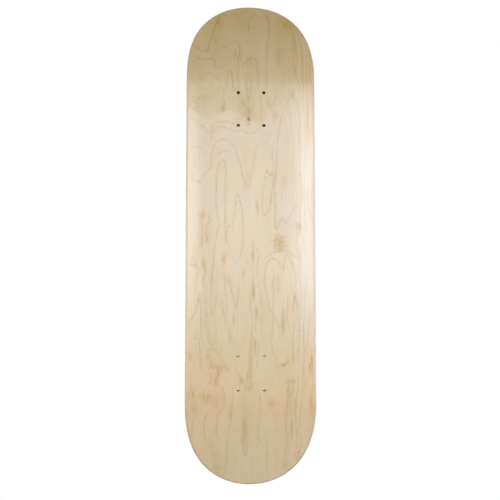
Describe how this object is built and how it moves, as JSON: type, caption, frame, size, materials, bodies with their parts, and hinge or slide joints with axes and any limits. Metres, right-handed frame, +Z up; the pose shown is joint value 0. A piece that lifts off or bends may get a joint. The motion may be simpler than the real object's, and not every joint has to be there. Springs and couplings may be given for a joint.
{
  "type": "skateboard deck",
  "caption": "Bare laminated maple skateboard deck with concave sides, upturned nose and tail, rounded rim and two rectangular groups of truck bolt holes.",
  "frame": {"origin": "on the bottom face, on the centre line, midway between the two groups of truck holes", "axes": "+Y along the deck towards the nose, +Z up from the bottom face to the face that the rider stands on, +X to the right seen from above with the nose ahead"},
  "size_m": [0.2096, 0.7948, 0.0571],
  "materials": {
    "bottom_face_maple": "satin",
    "top_face_maple": "satin",
    "core_maple": "satin",
    "crossband_maple": "satin",
    "cured_glue": "satin"
  },
  "bodies": {
    "root": {"bottom_face_veneer": "bottom_face_maple", "glue_line_1": "cured_glue", "lower_core_veneer": "core_maple", "glue_line_2": "cured_glue", "lower_crossband_veneer": "crossband_maple", "glue_line_3": "cured_glue", "middle_core_veneer": "core_maple", "glue_line_4": "cured_glue", "upper_crossband_veneer": "crossband_maple", "glue_line_5": "cured_glue", "upper_core_veneer": "core_maple", "glue_line_6": "cured_glue", "top_face_veneer": "top_face_maple"}
  },
  "joints": []
}
